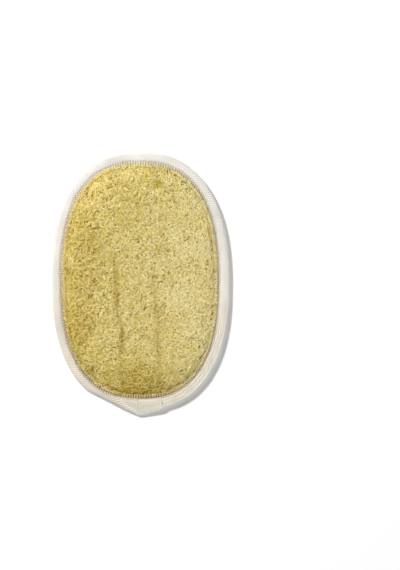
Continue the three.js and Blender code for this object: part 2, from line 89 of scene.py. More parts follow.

# Uneven surfaces are sums of ripples: (amount, size, seed).
PALE_DRIFT = [(0.35, 13, 17), (0.2, 5, 18)]
MAT_LUMPS = [(0.3, 1.4, 31), (0.25, 3.1, 32), (0.35, 9, 33)]
PALE_TILT = 0.85  # the loofah is paler to the right: partly its own tone, partly painted light that evens out the key lamp's shade on that side
# Paler and more golden patches of the loofah: (x, y, radius, paleness); the one at (0, -68) is painted shade
# along the bottom, where the loofah curves down to the tape.
PATCHES = [
    (29, -13, 12, 0.9), (34, 22, 11, 0.6), (8, 8, 9, 0.4), (11.7, 62, 2.4, -4.0),
    (-33, 30, 16, -0.5), (-36, -22, 14, -0.5), (0, -68, 15, -2.1), (0, 60, 20, -0.35),
    (-30, -58, 14, -0.3), (-46, 2, 12, -0.7), (-42, -34, 13, -0.5), (-40, 38, 10, -0.4),
]

# The loofah's fibres.
MAT_RINGS = 104
UNDER_RINGS = 22
MAT_DROP = 0.9
PIT_SIZE = 1.15
PIT_DEPTH = 0.6
STRAND_SHAPES = 24
STRAND_POINTS = 6
STRAND_SIDES = 3
STRAND_LENGTH = (3.0, 6.0)
STRAND_THICKNESS = (0.33, 0.44)
STRAND_BEND = 0.35  # each strand's first turn, and the turns after it, which keep some of the last
STRAND_CURL = 0.37
STRAND_KEPT = 0.6
STRAND_WAVE = 0.16
STRAND_TUCK = 0.75  # how far its ends dip
STRAND_DENSITY = 4.0e6
# Each layer of strands: its name, seed, spacing, height over the mat, tints and sizes; deeper layers take
# darker tints, painted shade by depth.
STRAND_LAYERS = [
    ("loofah_strands_deep", 3, 1.02, 0.3, (0.1, 0.6), (1.0, 1.25)),
    ("loofah_strands_middle", 5, 1.02, 0.42, (0.25, 0.8), (0.8, 1.1)),
    ("loofah_strands_top", 8, 1.13, 0.58, (0.45, 1.0), (0.9, 1.2)),
]
EDGE_BARE = 0.2  # strands are strewn from this far inside the tape's edge
RIM_LAY = 1.6  # nearer than this to that edge, strands lie along it
DIMPLES_AT = (2.9, 0.8)  # how far inside that edge the seam's loops pull the loofah down, and how wide

# The knit back.
RIB_PITCH = 4.85
RIB_HEIGHT = 0.75
RIB_WANDER = 0.5
KNIT_RINGS = 100
STITCH_PITCH = 2.35
STITCH_SPLIT = 0.8  # half the distance between a rib's two columns of stitches
STITCH_SLANT = 0.42
STITCH_DROP = 0.85
CROSSED_RIBS = 4  # every so many ribs, stitches cross and swell the rib
CROSSED_AT = (27.0, -41.0)
CROSSED_REACH = 4.5

# The tape's folded corner.
CORNER_START_X = -37.0
CORNER_POINT = (-1.5, -87.9)
FLAP_KNEE = (8.2, -85.3)
FLAP_HEEL = (12.1, -84.6)
FLAP_END_X = 14.7
FLAP_REACH = 14.6
FLAP_LIFT = 0.75
FLAP_FRAY = 0.004  # how far the flap's cut end strays, as an angle
FRAY_TURN = 0.9
FLAP_ROUND = 0.016  # the angle over which the flap's ends round down
FLAP_SHORT = 2.1  # the flap's front ends short of the seam
FLAP_STEPS = 48
FOLD_GAP = -0.004
CORNER_TAPER = 4.6
CORNER_THICKNESS = 3.0

# The tape.
TAPE_STEP = 0.6315
TAPE_ROLL = 2.6
LEAF_POINTS = 17
ROLL_POINTS = 9
LEAF_EASE = 1.6
LEAF_RISE = 0.5  # the front leaf rises less than the pad's cup
LEAF_CROWN = 0.25
RIDGES_END = -0.55  # the angle where the tape's ridges beside the flap fade out
RIDGE_PITCH = 1.5
RIDGE_HEIGHT = 0.24
SEAM_OUT = 1.8  # the front lockstitch, out from the tape's inner edge
SEAM_PITCH = 2.5
BACK_SEAM_OUT = 1.6
BACK_SEAM_PITCH = 3.2
# Beads and dips along the tape: (distance out from its own inner edge, width, height).
BACK_LIP = (0.0, 0.3, 0.35)
BACK_SELVEDGE = (0.5, 0.5, -0.12)
BACK_GROOVE = (BACK_SEAM_OUT, 0.35, 0.2)
FRONT_LIP = (0.0, 0.35, -0.28)
FRONT_GROOVE = (SEAM_OUT, 0.35, -0.25)
SEAM_SINK = 0.18
LIP_TUCK = 0.15
TWILL_PITCH = 1.7
TWILL_STRIPE = 5.0
TWILL_THREAD = 0.42

# The front seam: ticks across the tape's edge, loops into the loofah, and brown painted shade between.
TICK_OUT = 1.45
TICK_PITCH = 1.8
TICK_SHADE = 0.15
LOOP_OUT = -0.3
LOOP_PITCH = 1.8
LOOP_RISE = 0.1  # the loops' ends, over the loofah
LOOP_SLOPE = 0.75  # they climb less steeply than it does
LOOP_SHADE = 0.4
SHADE_START = 2.45
SHADE_FULL = 0.5
SEAM_LIGHT_ANGLE = 0.35
SEAM_LEAST = 0.12

# The elastic strap.
STRAP_WIDTH = 20.3
STRAP_Y = -1.6
STRAP_THICKNESS = 1.1
STRAP_HALF_LENGTH = 51.0
STRAP_STEPS = 90
STRAP_TUCK = 0.2
STRAP_LOW = 0.4
STRAP_FLAT = 20.0
STRAP_CORDS = 18
CORD_RELIEF = 0.11
CORD_INSET = 0.14  # the cords' middle level, in from the strap's two faces
SELVEDGE_THIN = 0.3  # how much thinner its selvedges are on each side
STRAP_SEAM_X = 45.2
STRAP_SEAM_PITCH = 3.2
STRAP_SEAM_GAP = 2.5  # between its two rows
PICK_PITCH = 0.8

# Colours as they look on a screen, from 0 to 255.
# Painted shade: the olive that the loofah is darkened towards in its creases, in the dimples at its edge and
# in specks along its bottom.
PAINTED_SHADE_OLIVE = (182, 150, 28)
# Painted shade: the brown that the front seam, its stitches and the tape beside the flap's ends are darkened
# towards.
SEAM_SHADE_BROWN = (166, 134, 90)

# The photograph's view: how much it takes in at the pad's rim, and where its middle lies.
VIEW_DISTANCE = 1.2
VIEW_HEIGHT = 0.3705
VIEW_X = 0.03907
VIEW_Y = -0.0008
VIEW_RIM = 0.006
SENSOR = 36.0
# The studio: its floor, its even light, and each lamp's name, place, size and power.
FLOOR = 3.0
FLOOR_DROP = 0.0001
WORLD_LIGHT = 0.12
LAMPS = [
    ("key", (-0.9, 0.95, 1.3), 0.36, 46.0),
    ("fill", (1.5, -1.3, 0.35), 0.6, 36.0),
    ("from_below", (0.25, -0.25, -0.9), 0.9, 7.0),
]


def smooth(low, high, value):
    t = np.clip((value - low) / (high - low), 0.0, 1.0)
    return t * t * (3 - 2 * t)


def bell(value, middle, width, height=1.0):
    return height * np.exp(-(((value - middle) / width) ** 2))


def oval_radius(angle, oval):
    across = np.abs(np.cos(angle) / oval.half_width) ** oval.power
    along = np.abs(np.sin(angle) / oval.half_length) ** oval.power
    return (across + along) ** (-1 / oval.power)


def inside(x, y, oval=PAD):
    """How far points lie inside an oval, along the ray from its centre."""
    return oval_radius(np.arctan2(y, x), oval) - np.hypot(x, y)


def ripple(x, y, size, seed):
    """Smooth bumps from -1 to 1, about size apart."""
    table = np.random.default_rng(seed).uniform(-1, 1, (97, 97))
    u, v = x / size + 40.3, y / size + 40.7
    i, j = np.floor(u).astype(int), np.floor(v).astype(int)
    fu, fv = smooth(0, 1, u - i), smooth(0, 1, v - j)
    i0, j0, i1, j1 = i % 97, j % 97, (i + 1) % 97, (j + 1) % 97
    low = table[i0, j0] * (1 - fu) + table[i1, j0] * fu
    high = table[i0, j1] * (1 - fu) + table[i1, j1] * fu
    return low * (1 - fv) + high * fv


def ripples(x, y, waves):
    return sum(amount * ripple(x, y, size, seed) for amount, size, seed in waves)


def cup(depth_in):
    t = np.clip((depth_in - FOOT_IN) / CUP_REACH, 0.0, 1.0)
    return CUP_HEIGHT * (1 - (1 - t) ** CUP_POWER)


def soft_cup(d):
    """The cup without its sharp start, for the tape's leaves."""
    past = d - FOOT_IN
    return cup(FOOT_IN + (past + np.sqrt(past * past + LEAF_EASE**2)) / 2)


def swell(x, y):
    depth_in = np.maximum(0, inside(x, y, FRONT_OPENING) - SWELL_START)
    share = 1 - np.exp(-((depth_in / SWELL_REACH) ** SWELL_POWER))
    return LOOFAH_EDGE + (LOOFAH_FULL - LOOFAH_EDGE) * share


def cloth_under(x, y):
    return CLOTH_BASE + cup(inside(x, y))


def loofah_under(x, y):
    return LOOFAH_BASE + cup(inside(x, y))


def loofah_over(x, y):
    return loofah_under(x, y) + swell(x, y)


def crease_shape(x, y):
    """(height, painted shade) that the creases give at points."""
    height, dark = np.zeros_like(x), np.zeros_like(x)
    for points in CREASES:
        ys, xs, depths = (np.array(c, float)[::-1] for c in zip(*points))
        wobble = 0.5 * ripple(x * 0, y, 4.0, 91)
        u = x - np.interp(y, ys, xs) - wobble
        depth = np.interp(y, ys, depths)
        past = np.maximum(0, u - CREASE_WALL)
        drop = smooth(-CREASE_WALL / 4, CREASE_WALL, u) * np.exp(-past / CREASE_RECOVERY)
        lip = CREASE_LIP * np.exp(-((u + CREASE_WALL) ** 2) / CREASE_RECOVERY)
        height += CREASE_SHARE * depth * (lip - drop)
        dark += (depth / CREASE_DEEPEST) ** CREASE_SHADE_POWER * bell(u, *CREASE_SHADE_AT)
    return height, dark


def paleness(x, y):
    total = ripples(x, y, PALE_DRIFT) + PALE_TILT * x / PAD.half_width
    for px, py, radius, amount in PATCHES:
        total = total + amount * np.exp(-((x - px) ** 2 + (y - py) ** 2) / radius**2)
    return total


def add_object(name, data, home=SCENE.collection):
    made = bpy.data.objects.new(name, data)
    home.objects.link(made)
    return made


def new_object(name, points, faces, home=SCENE.collection):
    """A smooth mesh object from points in metres, kept in a collection."""
    mesh = bpy.data.meshes.new(name)
    mesh.from_pydata(points.tolist(), [], faces)
    mesh.shade_smooth()
    mesh.update()
    return add_object(name, mesh, home)


def make_mesh(name, points, faces):
    """A mesh object in the scene from points in mm from the ovals' centre."""
    return new_object(name, (np.asarray(points, float) + [0, CENTRE_Y, 0]) * MM, faces)


def add_values(piece, name, values):
    """Keeps a number or a vector for each point of a mesh, for its material or its tree."""
    values = np.asarray(values, np.float32)
    kind, field = ("FLOAT_VECTOR", "vector") if values.ndim == 2 else ("FLOAT", "value")
    piece.data.attributes.new(name, kind, "POINT").data.foreach_set(field, values.ravel())


def dress(piece, material, **values):
    """Gives a mesh its material, and the numbers that go with it."""
    for name, value in values.items():
        add_values(piece, name, value)
    piece.data.materials.append(material)
    return piece


def hex_disc(rings):
    """A disc of triangles in hexagonal rings: each point's (ring, angle), and the triangles."""
    ring_of, angle_of = [0], [0.0]
    for ring in range(1, rings + 1):
        steps = np.arange(6 * ring)
        ring_of.extend([ring] * len(steps))
        angle_of.extend((steps * TURN / (6 * ring)).tolist())

    def index(ring, side, step):
        return 0 if ring == 0 else 1 + 3 * ring * (ring - 1) + (side * ring + step) % (6 * ring)

    triangles = []
    for ring in range(1, rings + 1):
        for side in range(6):
            for step in range(ring):
                a = index(ring, side, step)
                b = index(ring, side, step + 1)
                c = index(ring - 1, side, step)
                triangles.append((a, b, c))
                if step < ring - 1:
                    triangles.append((c, b, index(ring - 1, side, step + 1)))
    return np.array(ring_of), np.array(angle_of), triangles


def zip_rims(upper, lower):
    """Joins two closed rings of (index, angle) with a band of triangles."""
    triangles, i, j = [], 0, 0
    angle_after = lambda ring, k: ring[k + 1][1] if k + 1 < len(ring) else TURN
    while i < len(upper) or j < len(lower):
        next_upper = angle_after(upper, i) if i < len(upper) else math.inf
        next_lower = angle_after(lower, j) if j < len(lower) else math.inf
        a, b = upper[i % len(upper)][0], lower[j % len(lower)][0]
        if next_upper <= next_lower:
            i += 1
            triangles.append((a, b, upper[i % len(upper)][0]))
        else:
            j += 1
            triangles.append((a, b, lower[j % len(lower)][0]))
    return triangles


def oval_slab(oval, top_rings, under_rings, top_z, under_z):
    """Points and faces of a closed sheet that fills an oval, and how many of its points are on top."""
    parts, rims, faces, offset = [], [], [], 0
    for rings, height, up in ((top_rings, top_z, True), (under_rings, under_z, False)):
        ring, angle, triangles = hex_disc(rings)
        radius = oval_radius(angle, oval) * ring / rings
        x, y = radius * np.cos(angle), radius * np.sin(angle)
        parts.append(np.stack([x, y, height(x, y)], 1))
        faces += [(a + offset, b + offset, c + offset) if up else (a + offset, c + offset, b + offset)
                  for a, b, c in triangles]
        rims.append([(int(k) + offset, angle[k]) for k in np.nonzero(ring == rings)[0]])
        offset += len(ring)
    faces += zip_rims(*rims)
    return np.concatenate(parts), faces, len(parts[0])


def tube(path, radii, sides):
    """Points and faces of a tube along a path, drawn to a point at both ends."""
    path = np.asarray(path, float)
    along = np.gradient(path, axis=0)
    along /= np.linalg.norm(along, axis=1)[:, None]
    across = np.cross(along, [0, 0, 1.0])
    across /= np.maximum(np.linalg.norm(across, axis=1), 1e-6)[:, None]
    up = np.cross(across, along)
    points, faces, rings = [], [], len(path) - 2
    for k in range(1, rings + 1):
        for side in range(sides):
            turn = side * TURN / sides
            points.append(path[k] + radii[k] * (math.cos(turn) * across[k] + math.sin(turn) * up[k]))
    first, last, end = rings * sides, rings * sides + 1, (rings - 1) * sides
    points += [path[0], path[-1]]
    for side in range(sides):
        after = (side + 1) % sides
        faces.append((first, after, side))
        faces.append((last, end + side, end + after))
        for k in range(0, end, sides):
            faces.append((k + side, k + after, k + sides + after, k + sides + side))
    return np.array(points), faces


def bowed_thread(name, length, rise, radii, sides):
    """One stitch about the origin, bowed up in the middle, for Geometry Nodes to repeat."""
    steps = len(radii) + 1
    path = [(length * (k / steps - 0.5), 0, rise * (1 - (2 * k / steps - 1) ** 2)) for k in range(steps + 1)]
    points, faces = tube(path, [0, *radii, 0], sides)
    return new_object(name, points * MM, faces, UNITS)


def sweep(name, rings, along, across, closed=False):
    """A closed mesh through rings of points, with a UV map of the way along and across them."""
    rows, count, _ = rings.shape
    row, column = np.meshgrid(np.arange(rows if closed else rows - 1), np.arange(count), indexing="ij")
    row = np.stack([row, row + 1, row + 1, row], -1)
    column = np.stack([column, column, column + 1, column + 1], -1)
    faces = (row % rows * count + column % count).reshape(-1, 4).tolist()
    u, v = along[row].ravel(), across[row % rows, column].ravel()
    if not closed:
        faces += [list(range(count)), list(range(rows * count - 1, (rows - 1) * count - 1, -1))]
        u = np.append(u, np.repeat(along[[0, rows - 1]], count))
        v = np.concatenate([v, across[0, :count], across[-1, count - 1::-1]])
    piece = make_mesh(name, rings.reshape(-1, 3), faces)
    layer = piece.data.uv_layers.new(name="cloth")
    layer.data.foreach_set("uv", np.stack([u, v], 1).astype(np.float32).ravel())
    return piece


# Geometry Nodes.


def new_tree(name, sockets):
    tree = bpy.data.node_groups.new(name, "GeometryNodeTree")
    tree.interface.new_socket("Geometry", in_out="OUTPUT", socket_type="NodeSocketGeometry")
    for label, kind in sockets:
        tree.interface.new_socket(label, in_out="INPUT", socket_type="NodeSocket" + kind)
    return tree, tree.nodes.new("NodeGroupInput").outputs


def add_node(tree, kind, links=(), **settings):
    """A node with its settings. links pairs an input's name or number with a node, a socket or a value."""
    made = tree.nodes.new(kind)
    for key, value in settings.items():
        setattr(made, key, value)
    for key, source in links:
        if isinstance(source, bpy.types.Node):
            source = source.outputs[0]
        if isinstance(source, bpy.types.NodeSocket):
            tree.links.new(source, made.inputs[key])
        else:
            made.inputs[key].default_value = source
    return made


def maths(tree, operation, *values):
    return add_node(tree, "ShaderNodeMath", enumerate(values), operation=operation).outputs[0]


def random_value(tree, low, high, seed, shift):
    moved = maths(tree, "ADD", seed, float(shift))
    made = add_node(tree, "FunctionNodeRandomValue", [(2, low), (3, high), (8, moved)], data_type="FLOAT")
    return made.outputs[1]


def read_values(tree, name, kind="FLOAT"):
    return add_node(tree, "GeometryNodeInputNamedAttribute", [("Name", name)], data_type=kind).outputs[0]


def finish_tree(tree, placed, tint, material):
    """Keeps a tint for each copy, makes the copies real and gives them their material."""
    tinted = add_node(tree, "GeometryNodeStoreNamedAttribute", [
        ("Geometry", placed), ("Name", "tint"), ("Value", tint)], data_type="FLOAT", domain="INSTANCE")
    real = add_node(tree, "GeometryNodeRealizeInstances", [("Geometry", tinted)])
    dressed = add_node(tree, "GeometryNodeSetMaterial", [("Geometry", real), ("Material", material)])
    add_node(tree, "NodeGroupOutput", [(0, dressed)])
    return tree


def strand_tree():
    """Fibres strewn over a surface, each lying along it, round the surface's own lean."""
    tree, given = new_tree("strands over a surface", [
        ("Surface", "Geometry"), ("Strands", "Collection"), ("Spacing", "Float"), ("Seed", "Int"),
        ("Smallest", "Float"), ("Largest", "Float"), ("Lift", "Float"), ("Least tint", "Float"),
        ("Most tint", "Float"), ("Finish", "Material"),
    ])
    cover, spread, lean = (read_values(tree, name) for name in ("cover", "spread", "lean"))
    strewn = add_node(tree, "GeometryNodeDistributePointsOnFaces", [
        ("Mesh", given["Surface"]), ("Distance Min", given["Spacing"]), ("Density Max", STRAND_DENSITY),
        ("Density Factor", cover), ("Seed", given["Seed"])], distribute_method="POISSON")
    away = strewn.outputs["Normal"]
    pushed = add_node(tree, "ShaderNodeVectorMath", [(0, away), ("Scale", given["Lift"])], operation="SCALE")
    moved = add_node(tree, "GeometryNodeSetPosition", [("Geometry", strewn), ("Offset", pushed)])
    stray = random_value(tree, -1.0, 1.0, given["Seed"], 1)
    spin = add_node(tree, "ShaderNodeCombineXYZ", [("Z", maths(tree, "MULTIPLY_ADD", stray, spread, lean))])
    laid = add_node(tree, "FunctionNodeAlignRotationToVector", [("Rotation", spin), ("Vector", away)],
                    axis="Z")
    shapes = add_node(tree, "GeometryNodeCollectionInfo", [
        (0, given["Strands"]), ("Separate Children", True), ("Reset Children", True)])
    placed = add_node(tree, "GeometryNodeInstanceOnPoints", [
        ("Points", moved), ("Instance", shapes), ("Pick Instance", True), ("Rotation", laid),
        ("Scale", random_value(tree, given["Smallest"], given["Largest"], given["Seed"], 2))])
    tint = random_value(tree, given["Least tint"], given["Most tint"], given["Seed"], 3)
    return finish_tree(tree, placed, tint, given["Finish"])


def stitch_tree():
    """One shape repeated at points that say which way it lies and how large it is."""
    tree, given = new_tree("stitches in rows", [
        ("Rows", "Geometry"), ("Stitch", "Object"), ("Unevenness", "Float"), ("Seed", "Int"),
        ("Finish", "Material"),
    ])
    along, up = (read_values(tree, name, "FLOAT_VECTOR") for name in ("along", "up"))
    ahead = add_node(tree, "FunctionNodeAlignRotationToVector", [("Vector", along)], axis="X")
    level = add_node(tree, "FunctionNodeAlignRotationToVector", [("Rotation", ahead), ("Vector", up)],
                     axis="Z", pivot_axis="X")
    spare = maths(tree, "SUBTRACT", 1.0, given["Unevenness"])
    uneven = random_value(tree, spare, 1.0, given["Seed"], 1)
    shape = add_node(tree, "GeometryNodeObjectInfo", [("Object", given["Stitch"])])
    placed = add_node(tree, "GeometryNodeInstanceOnPoints", [
        ("Points", given["Rows"]), ("Instance", shape.outputs["Geometry"]), ("Rotation", level),
        ("Scale", maths(tree, "MULTIPLY", read_values(tree, "size"), uneven))])
    return finish_tree(tree, placed, random_value(tree, 0.0, 1.0, given["Seed"], 2), given["Finish"])


def grow(name, source, tree, values):
    """Runs a tree on a source object, and returns what it makes as a plain mesh object."""
    modifier = source.modifiers.new("grow", "NODES")
    modifier.node_group = tree
    for item in tree.interface.items_tree:
        if item.in_out == "INPUT" and item.name in values:
            modifier[item.identifier] = values[item.name]
    graph = bpy.context.evaluated_depsgraph_get()
    mesh = bpy.data.meshes.new_from_object(source.evaluated_get(graph), preserve_all_data_layers=True,
                                           depsgraph=graph)
    source.modifiers.remove(modifier)
    mesh.name = name
    mesh.shade_smooth()
    return add_object(name, mesh)


def stitch_rows(name, places, along, up, unit, unevenness, seed, material, shade=0.0, size=1.0):
    """Copies of a stitch at places, with one value for all of them or one for each."""
    rows = make_mesh(name + "_rows", places, [])
    count = len(places)
    add_values(rows, "seam_shade", np.broadcast_to(shade, count))
    add_values(rows, "along", np.broadcast_to(along, (count, 3)))
    add_values(rows, "up", np.broadcast_to(up, (count, 3)))
    add_values(rows, "size", np.broadcast_to(size, count))
    values = {"Stitch": unit, "Unevenness": unevenness, "Seed": seed, "Finish": material}
    piece = grow(name, rows, STITCH_TREE, values)
    bpy.data.objects.remove(rows)
    return piece


# Materials.


def linear(red, green, blue):
    """A colour as it looks on a screen, from 0 to 255, as the light that shaders work in."""
    to_light = lambda c: ((c / 255 + 0.055) / 1.055) ** 2.4 if c > 10 else c / 255 / 12.92
    return (to_light(red), to_light(green), to_light(blue), 1.0)


def new_effect(name, inputs, outputs):
    group = bpy.data.node_groups.new(name, "ShaderNodeTree")
    for label, value in inputs.items():
        socket = group.interface.new_socket(label, in_out="INPUT", socket_type="NodeSocketFloat")
        socket.default_value = value
    for label in outputs:
        group.interface.new_socket(label, in_out="OUTPUT", socket_type="NodeSocketFloat")
    return group, group.nodes.new("NodeGroupInput").outputs


def wave(tree, kind, value, length):
    return maths(tree, kind, maths(tree, "MULTIPLY", maths(tree, "DIVIDE", value, length), TURN))


def along_across(tree):
    """The UV map of a cloth, in mm along and across it."""
    split = add_node(tree, "ShaderNodeSeparateXYZ", [(0, add_node(tree, "ShaderNodeUVMap", uv_map="cloth"))])
    return split.outputs["X"], split.outputs["Y"]


def mottle_effect():
    """Slow changes of tone over a surface, with fine fibres on top."""
    inputs = {"Patch size": 90.0, "Fibre size": 2500.0, "Fibre share": 0.4}
    group, given = new_effect("mottle", inputs, ["Mask", "Height"])
    where = add_node(group, "ShaderNodeTexCoord").outputs["Object"]
    slow, fine = (
        add_node(group, "ShaderNodeTexNoise", [("Vector", where), ("Scale", size), ("Detail", detail)])
        for size, detail in ((given["Patch size"], 3.0), (given["Fibre size"], 2.0)))
    mixed = add_node(group, "ShaderNodeMix", [(0, given["Fibre share"]), (2, slow), (3, fine)],
                     data_type="FLOAT")
    add_node(group, "NodeGroupOutput", [("Mask", mixed), ("Height", fine)])
    return group


def twill_effect(tick_step):
    """Slanting lines of a weave that turn back in each stripe, on a UV map in mm along and across.

    Gap is 1 between the seam's ticks, which lie a step apart."""
    inputs = {"Pitch": TWILL_PITCH, "Stripe": TWILL_STRIPE, "Thread": TWILL_THREAD, "Tick step": tick_step}
    group, given = new_effect("twill", inputs, ["Line", "Height", "Gap"])
    along, across = along_across(group)
    slanted = maths(group, "ADD", along, maths(group, "PINGPONG", across, given["Stripe"]))
    line = maths(group, "MULTIPLY_ADD", wave(group, "SINE", slanted, given["Pitch"]), 0.5, 0.5)
    height = maths(group, "MULTIPLY_ADD", wave(group, "SINE", across, given["Thread"]), 0.2, line)
    between = maths(group, "MULTIPLY_ADD", wave(group, "COSINE", along, given["Tick step"]), -0.5, 0.5)
    gap = maths(group, "MULTIPLY_ADD", maths(group, "POWER", between, 3.0), 0.85, 0.15)
    add_node(group, "NodeGroupOutput", [("Line", line), ("Height", height), ("Gap", gap)])
    return group


def new_material(name, roughness, sheen=0.0, specular=0.25):
    material = bpy.data.materials.new(name)
    material.use_nodes = True
    shader = material.node_tree.nodes["Principled BSDF"]
    shader.inputs["Roughness"].default_value = roughness
    shader.inputs["Specular IOR Level"].default_value = specular
    shader.inputs["Sheen Weight"].default_value = sheen
    return material, material.node_tree, shader


def effect(tree, group, **values):
    made = tree.nodes.new("ShaderNodeGroup")
    made.node_tree = group
    for label, value in values.items():
        made.inputs[label.replace("_", " ")].default_value = value
    return made.outputs


def blend_colours(tree, share, low, high, kind="MIX"):
    """Mixes two colours, each of them a socket or as it looks on a screen."""
    low, high = (linear(*c) if isinstance(c, tuple) else c for c in (low, high))
    mixed = add_node(tree, "ShaderNodeMix", [(0, share), (6, low), (7, high)], data_type="RGBA",
                     blend_type=kind)
    return mixed.outputs[2]


def attribute(tree, name):
    return add_node(tree, "ShaderNodeAttribute", attribute_name=name).outputs["Fac"]


def span(tree, value, low, high):
    return add_node(tree, "ShaderNodeMapRange", [("Value", value), ("From Min", low), ("From Max", high)])


def paint(tree, shader, colour, height, relief):
    """Gives a shader its colour, and its relief in mm."""
    raised = add_node(tree, "ShaderNodeBump", [("Height", height), ("Distance", relief * MM)])
    tree.links.new(colour, shader.inputs["Base Color"])
    tree.links.new(raised.outputs[0], shader.inputs["Normal"])


def loofah_material(name, hollow, golden, pale, paling):
    """Dried fibre, with painted shade by depth: olive where it lies deep, golden above that, and pale on
    top.
    """
    material, tree, shader = new_material(name, 0.62)
    grain = effect(tree, MOTTLE, Patch_size=160.0, Fibre_size=1800.0, Fibre_share=0.5)
    tone = maths(tree, "MULTIPLY_ADD", attribute(tree, "pale"), paling, attribute(tree, "tint"))
    speckled = maths(tree, "MULTIPLY_ADD", grain["Mask"], 0.4, tone)
    low = blend_colours(tree, span(tree, speckled, 0.15, 0.65), hollow, golden)
    body = blend_colours(tree, span(tree, speckled, 0.65, 1.2), low, pale)
    # Painted shade: darkened towards olive where the dark attribute says.
    with_painted_shade = blend_colours(tree, attribute(tree, "dark"), body, PAINTED_SHADE_OLIVE)
    paint(tree, shader, with_painted_shade, grain["Height"], 0.06)
    return material


def yarn_material(name, shade, light, relief=0.08):
    """Soft spun yarn or thread, each stitch a little different."""
    material, tree, shader = new_material(name, 0.85, 0.15)
    grain = effect(tree, MOTTLE, Patch_size=120.0, Fibre_size=2600.0, Fibre_share=0.5)
    tone = maths(tree, "MULTIPLY_ADD", attribute(tree, "tint"), 0.5, grain["Mask"])
    spun = blend_colours(tree, span(tree, tone, 0.3, 1.0), shade, light)
    # Painted shade: stitches of the front seam are darkened towards brown, most at the lower left.
    with_painted_shade = blend_colours(tree, attribute(tree, "seam_shade"), spun, SEAM_SHADE_BROWN)
    paint(tree, shader, with_painted_shade, grain["Height"], relief)
    return material


def tape_material(name, shade, light, cream):
    """Cotton twill tape, with brown painted shade down in the seam."""
    material, tree, shader = new_material(name, 0.85, 0.2)
    grain = effect(tree, MOTTLE, Patch_size=60.0, Fibre_size=3000.0, Fibre_share=0.35)
    weave = effect(tree, TWILL)
    tone = maths(tree, "MULTIPLY_ADD", weave["Line"], 0.48, grain["Mask"])
    cotton = blend_colours(tree, span(tree, tone, 0.35, 0.95), shade, light)
    # Creamier towards the bottom of the pad, on the upper part of the tape.
    cream_tinted = blend_colours(tree, attribute(tree, "cream"), cotton, cream, "MULTIPLY")
    # Painted shade in the seam, stronger between the ticks, and beside the flap's ends.
    gaps = maths(tree, "MULTIPLY", attribute(tree, "seam_shade"), weave["Gap"])
    height = maths(tree, "MULTIPLY_ADD", grain["Height"], 0.4, weave["Height"])
    paint(tree, shader, blend_colours(tree, gaps, cream_tinted, SEAM_SHADE_BROWN), height, 0.12)
    return material


def elastic_material(name, shade, light):
    """Woven elastic: thin threads run across the cords."""
    material, tree, shader = new_material(name, 0.8, 0.2)
    grain = effect(tree, MOTTLE, Patch_size=80.0, Fibre_size=3000.0, Fibre_share=0.4)
    along, across = along_across(tree)
    cords = wave(tree, "COSINE", across, STRAP_WIDTH / STRAP_CORDS)
    woven = maths(tree, "MULTIPLY", wave(tree, "SINE", along, PICK_PITCH), cords)
    tone = maths(tree, "MULTIPLY_ADD", cords, 0.22, grain["Mask"])
    height = maths(tree, "MULTIPLY_ADD", grain["Height"], 0.5, woven)
    paint(tree, shader, blend_colours(tree, span(tree, tone, 0.2, 0.8), shade, light), height, 0.07)
    return material


# The loofah.


def near_angle(angle, low, high, margin):
    """1 between two angles, easing to 0 past each over a margin."""
    return smooth(low - margin, low, angle) * (1 - smooth(high, high + margin, angle))


def edge_dimples(x, y):
    """1 where the seam's loops pull the loofah's edge down, 0 elsewhere."""
    along = np.arctan2(y, x) * 62  # about millimetres round the opening
    beat = 0.5 + 0.5 * np.cos(TURN * along / LOOP_PITCH + 1.5 * ripple(x, y, 20, 71))
    eased = 1 - 0.75 * near_angle(np.arctan2(y, x), -0.9, 0.1, 0.5)  # the right side is looser
    return bell(inside(x, y, FRONT_OPENING), *DIMPLES_AT) * beat**2 * eased


def pits(x, y):
    """1 in the open gaps between strands, 0 where they lie dense."""
    return smooth(0.25, 0.7, ripple(x, y, PIT_SIZE, 37))


def make_mat(material):
    """The loofah's body, under the strands: pitted between them, and smooth beneath."""
    def top(x, y):
        height, _ = crease_shape(x, y)
        depth_in = inside(x, y, FRONT_OPENING)
        cover = smooth(0.4, 2.4, depth_in)
        lumps = ripples(x, y, MAT_LUMPS) - PIT_DEPTH * pits(x, y)
        tucked = 0.5 * (1 - smooth(0, 0.9, depth_in))  # clear of the tape over it
        drop = cover * (MAT_DROP - lumps - height) + tucked + 0.5 * edge_dimples(x, y)
        return loofah_over(x, y) - drop

    points, faces, top_count = oval_slab(LAYERS, MAT_RINGS, UNDER_RINGS, top, loofah_under)
    piece = make_mesh("loofah_mat", points, faces)
    x, y, _ = points.T
    depth_in, dimples, pitted = inside(x, y, FRONT_OPENING), edge_dimples(x, y), pits(x, y)
    low_half = smooth(20, -45, y)
    on_top = np.arange(len(points)) < top_count
    cover = smooth(EDGE_BARE, EDGE_BARE + 1.2, depth_in) * on_top
    cover = cover * (1 - 0.75 * dimples) * (1 - 0.7 * pitted)
    # Painted shade towards olive: in the creases, in the dimples that the seam's loops pull in, and in
    # specks along the bottom edge, where the loofah curves down to the tape.
    broken = 0.6 + 0.4 * ripple(x, y, 2.2, 38)
    low_shade_specks = 0.95 * smooth(-54, -70, y) * smooth(0.1, 0.7, ripple(x, y, 1.6, 39))
    dark = 1.1 * crease_shape(x, y)[1] * broken + 0.7 * dimples + low_shade_specks
    pale_rim = 0.7 * smooth(2.4, 0.6, depth_in)
    rim = smooth(RIM_LAY + 2, RIM_LAY, depth_in)
    free_lean = 1.3 * ripple(x, y, 16, 35) * (1 - 0.6 * low_half)
    rim_lean = np.arctan2(y, x) + TURN / 4
    # Painted shade: the mat's tint is lower in the open pits between strands.
    return dress(piece, material, cover=cover, pale=paleness(x, y), dark=np.clip(dark, 0, 1),
                 tint=0.2 * (1 - pitted) + pale_rim, lean=free_lean * (1 - rim) + rim_lean * rim,
                 spread=(1.57 - 0.5 * low_half) * (1 - rim) + 0.35 * rim)


